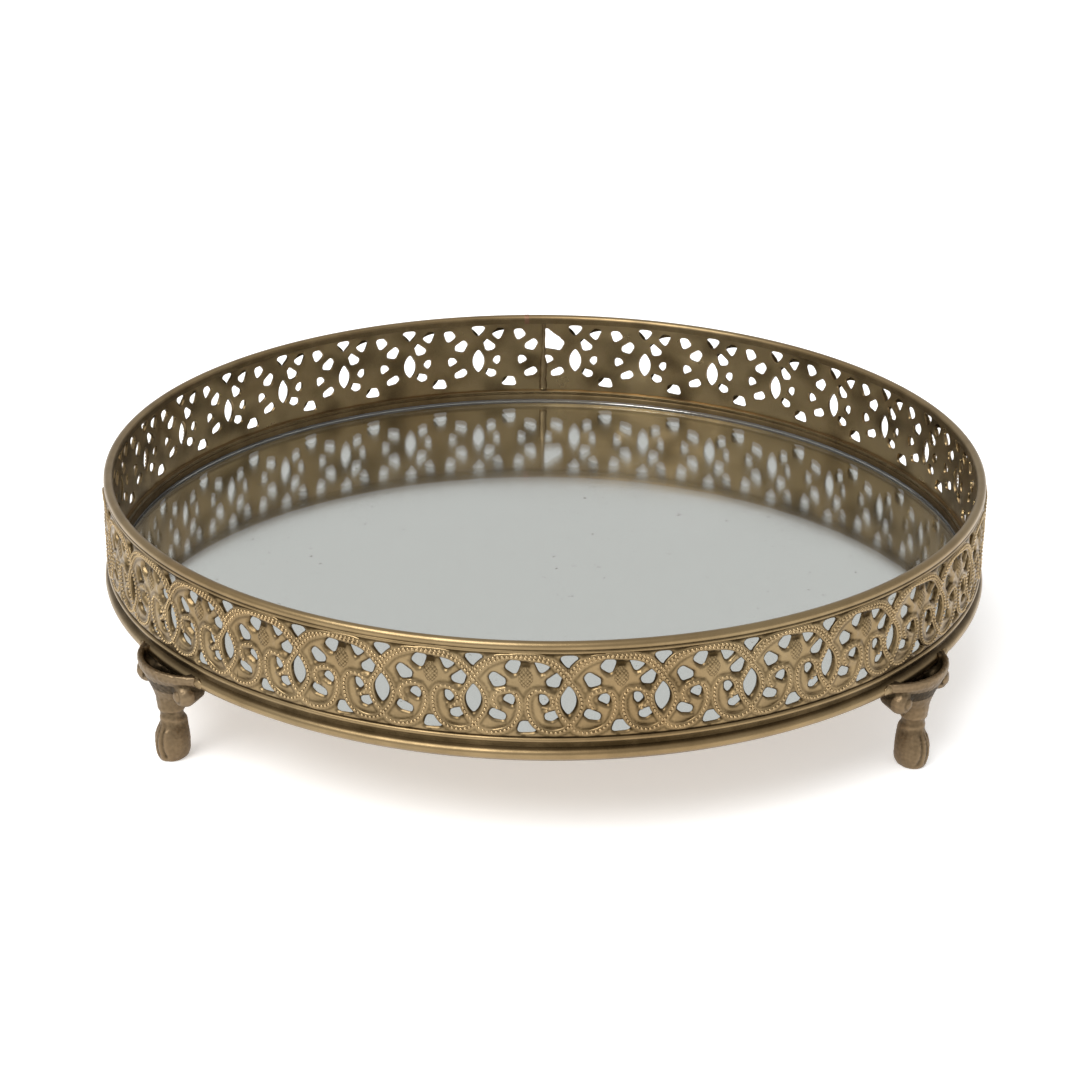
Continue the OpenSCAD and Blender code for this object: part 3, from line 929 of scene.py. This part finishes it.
opening = np.clip((up_at - collar_z) / (cup_band_z - collar_z), 0, 1) ** 1.6
plan_y = foot_at + (cup_plan_y - foot_at) * opening
plan_r = collar_r + (cup_plan_r - collar_r) * opening
plan_away = np.hypot(side_at, out_at - plan_y)
flare = np.maximum(plan_away - plan_r - 0.22 * np.exp(-((up_at - 28.9) / 0.7) ** 2), collar_z - 1 - up_at)
flare = np.maximum(flare * 0.8, up_at - cup_high_z)
pocket_floor = 22.5
pocket = np.maximum(plan_away - plan_r + cup_wall, pocket_floor - up_at)
bead_half_l = np.sqrt(np.clip(lower_bead_r ** 2 - (up_at - lower_bead_at[1]) ** 2, 0, None))
fat_bead_r = lower_bead_at[0] - 0.1 + bead_half_l
pocket = np.maximum(pocket, lower_bead_at[0] - np.hypot(side_at, out_at))
pocket = np.maximum(pocket, np.abs(side_at) - 10.6)
shape = -blended(-flare, pocket, 0.5)
for side in (-1, 1):
    scroll = rod((side * 9.0, foot_back + 2.0, 23.9), (side * 9.9, 131.2, 23.5), 3.0, 3.4)
    curl = np.hypot(side_at - side * 9.8, up_at - 23.5)
    scroll = scroll + 0.32 * np.exp(-((curl - 1.75) / 0.35) ** 2) * (out_at > 131)
    shape = blended(shape, scroll, 0.8)
shape = blended(shape, rod((0, foot_at, cuff_z), (0, foot_at, collar_z + 1), ankle_r, collar_r), 1.0)
cuff_tilt = up_at - cuff_z - 0.16 * (out_at - foot_at)
cuff = np.hypot(np.hypot(side_at, out_at - foot_at) - ankle_r + 0.15, cuff_tilt) - 0.55
shape = blended(shape, cuff, 0.7)
paw_away = np.sqrt((side_at / 4.4) ** 2 + ((out_at - 130.6) / 4.9) ** 2 + ((up_at - 5.2) / 7.6) ** 2)
paw = (paw_away - 1) * 4.0
paw = blended(paw, rod((0, 128.0, 11.0), (0, 128.2, 2.6), 2.4, 2.9), 1.5)
front = np.clip((out_at - 128.2) / 2.0, 0, 1) * np.clip((up_at - 0.8) / 1.2, 0, 1)
front = front * np.clip((12.2 - up_at) / 2.5, 0, 1)
for place in (-2.1, 0, 2.1):
    spread = place * (1.1 - 0.045 * up_at)
    paw = paw + 0.42 * front * np.exp(-((side_at - spread) / 0.55) ** 2)
shape = blended(shape, paw, 1.2)
shape = np.maximum(shape, foot_back - out_at)
above = np.maximum(base_low_z - 0.2 - up_at, np.hypot(side_at, out_at) - fat_bead_r)
shape = np.maximum(shape, -above)
rough = (np.sin(side_at * 2.9 + 1.7 * np.sin(up_at * 2.1)) * np.sin(up_at * 2.5 + 1.3 * np.sin(out_at * 2.7))
         * np.sin(out_at * 2.3 + side_at))
shape = np.maximum(shape + 0.09 * rough, -up_at)


def skin_of(field, origin, step):
    """The closed surface round the places where a field of distances is below nought."""
    sizes = [n - 1 for n in field.shape]

    def shifted(grid, by):
        return grid[by[0]:by[0] + sizes[0], by[1]:by[1] + sizes[1], by[2]:by[2] + sizes[2]]

    places, crossings = np.zeros(sizes + [3]), np.zeros(sizes)
    for axis in range(3):
        others = [a for a in range(3) if a != axis]
        for first in (0, 1):
            for second in (0, 1):
                low = [0, 0, 0]
                low[others[0]], low[others[1]] = first, second
                high = list(low)
                high[axis] = 1
                a, b = shifted(field, low), shifted(field, high)
                crossed = (a < 0) != (b < 0)
                share = np.where(crossed, a / np.where(crossed, a - b, 1), 0)
                places[..., axis] += share
                places[..., others[0]] += first * crossed
                places[..., others[1]] += second * crossed
                crossings += crossed
    used = crossings > 0
    number = np.full(sizes, -1)
    number[used] = np.arange(used.sum())
    points = np.array(origin) + step * (np.argwhere(used) + places[used] / crossings[used][:, None])
    quads = []
    for axis in range(3):
        back_u, back_v = np.zeros(3, int), np.zeros(3, int)
        back_u[(axis + 1) % 3], back_v[(axis + 2) % 3] = 1, 1
        low = np.array([p for p in np.argwhere(np.diff((field < 0).astype(int), axis=axis) != 0)
                        if p[(axis + 1) % 3] > 0 and p[(axis + 2) % 3] > 0])
        inside = field[tuple(low.T)] < 0
        ring = [number[tuple((low - shift).T)] for shift in (back_u + back_v, back_v, 0 * back_u, back_u)]
        for row, outward in zip(np.array(ring).T.tolist(), inside):
            quads.append(row if outward else row[::-1])
    return points, quads


foot_points, foot_quads = skin_of(shape, (-16.0, 124.0, -1.4), foot_step)
foot_points[:, 1] *= -1
foot_quads = [quad[::-1] for quad in foot_quads]


def hollowness(obj):
    """How hollow the surface is at each point, from -1 on an edge to 1 in a groove."""
    places = np.array([v.co[:] for v in obj.data.vertices])
    normals = np.array([v.normal[:] for v in obj.data.vertices])
    edges = np.array([e.vertices[:] for e in obj.data.edges])
    totals, counts = np.zeros_like(places), np.zeros(len(places))
    for a, b in ((0, 1), (1, 0)):
        np.add.at(totals, edges[:, a], places[edges[:, b]])
        np.add.at(counts, edges[:, a], 1)
    lift = ((totals / counts[:, None] - places) * normals).sum(1) / (0.08 * foot_step * MM)
    for _ in range(3):
        smoothed = np.zeros(len(places))
        for a, b in ((0, 1), (1, 0)):
            np.add.at(smoothed, edges[:, a], lift[edges[:, b]])
        lift = 0.4 * lift + 0.6 * smoothed / counts
    return np.clip(lift, -1, 1)


foot = piece_from("cast_foot", foot_points.tolist(), foot_quads)
face_outwards()
smoothing = foot.modifiers.new("soft_casting", "SMOOTH")
smoothing.factor, smoothing.iterations = 0.5, 3
bpy.ops.object.modifier_apply(modifier=smoothing.name)
bpy.ops.object.shade_smooth()


def in_pocket(at):
    """Whether a point of the foot's skin, in millimetres, lies inside its cup."""
    return at.z > pocket_floor - 0.1 and math.hypot(at.x, at.y + cup_plan_y) < cup_plan_r - 1.0


worn = [0.32 + 0.55 * hollow + 0.55 * in_pocket(vertex.co / MM)
        for hollow, vertex in zip(hollowness(foot), foot.data.vertices)]
layer = foot.data.attributes.new("patina", "FLOAT", "POINT")
layer.data.foreach_set("value", [min(1.0, max(0.0, shade)) for shade in worn])
cast_brass = antique_brass("cast_antique_brass", [0.225, 0.165, 0.10, 1], [0.042, 0.029, 0.015, 1],
                           0.45, 1000.0, 0.0003)
foot.data.materials.append(cast_brass)

for corner, angle in foot_angles.items():
    one = foot.copy()
    one.data = foot.data.copy()
    one.name = "cast_foot_" + corner
    bpy.context.scene.collection.objects.link(one)
    one.data.transform(Matrix.Rotation(math.radians(angle), 4, "Z"))
    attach(one, BODY)
    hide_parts("foot_" + corner)
clear_selection()
foot.select_set(True)
bpy.ops.object.delete()


# ---------------------------------------------------------------- Foot solder
# A lump of solder at each tip of each cup, smeared along the fat bead of the moulding. It was
# run in once the foot stood in its place, and no two lumps are alike.

cup_half_w = 14.0
cup_tip_angle = math.degrees(math.asin(cup_half_w / (lower_bead_at[0] + lower_bead_r)))
lump_past_tip = 0.35
lump_size = (1.9, 0.85, 1.35)
lump_at = Vector((0, -130.75, 28.5))
for corner, angle in foot_angles.items():
    for side, letter in ((-1, "a"), (1, "b")):
        clear_selection()
        bpy.ops.mesh.primitive_ico_sphere_add(subdivisions=4, radius=MM)
        lump = bpy.context.object
        lump.name = "solder_lump_" + corner + "_" + letter
        bpy.ops.transform.resize(value=lump_size)
        bpy.ops.object.transform_apply(location=True, rotation=True, scale=True)
        turn = math.radians(angle + side * (cup_tip_angle + lump_past_tip))
        for vertex in lump.data.vertices:
            bulge = noise.noise(vertex.co / MM * 0.8 + Vector((angle, side * 5, 0)))
            vertex.co *= 1 + 0.28 * bulge
            vertex.co += lump_at * MM
        lump.data.transform(Matrix.Rotation(turn, 4, "Z"))
        bpy.ops.object.shade_smooth()
        lump.data.materials.append(bronze_solder)
        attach(lump, BODY)
        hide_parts("solder_" + corner + "_" + letter)


# ---------------------------------------------------------------- Studio
# A pale floor under an even grey surround, with one broad light from the upper left. The floor
# gives off a little light of its own, so that the shadow under the tray stays faint.

clear_selection()
bpy.ops.mesh.primitive_plane_add(size=12.0)
floor = bpy.context.object
floor.name = "floor"
pale, start, place = new_material("pale_floor")
finish_material(start, {
    "Base Color": grain(start, place, 2.0).mix([0.92, 0.92, 0.92, 1], [0.94, 0.94, 0.94, 1]),
    "Roughness": 0.8,
    "Specular IOR Level": 0.2,
    "Emission Color": [1, 1, 1, 1],
    "Emission Strength": 0.42,
})
floor.data.materials.append(pale)

world = bpy.data.worlds.new("studio")
bpy.context.scene.world = world
world.use_nodes = True
surround = world.node_tree.nodes["Background"]
surround.inputs["Color"].default_value = (0.66, 0.66, 0.655, 1)
surround.inputs["Strength"].default_value = 1.0

key_light = bpy.data.lights.new("key", "SUN")
key_light.energy = 2.1
key_light.angle = math.radians(38)
key = bpy.data.objects.new("key", key_light)
key.rotation_euler = (math.radians(28), math.radians(-24), 0)
bpy.context.scene.collection.objects.link(key)

view_lens = bpy.data.cameras.new("camera")
view_lens.lens = 86.88
view_lens.sensor_width = 36.0
camera = bpy.data.objects.new("camera", view_lens)
camera_at = (0, -0.72155, 0.34649)
camera_turn, camera_tilt, camera_roll = 0.10, 66.44, 0.525
turns = (Matrix.Rotation(math.radians(camera_turn), 4, "Z")
         @ Matrix.Rotation(math.radians(camera_tilt), 4, "X")
         @ Matrix.Rotation(math.radians(camera_roll), 4, "Z"))
camera.matrix_world = Matrix.Translation(camera_at) @ turns
bpy.context.scene.collection.objects.link(camera)
bpy.context.scene.camera = camera
bpy.context.scene.view_settings.view_transform = "Standard"
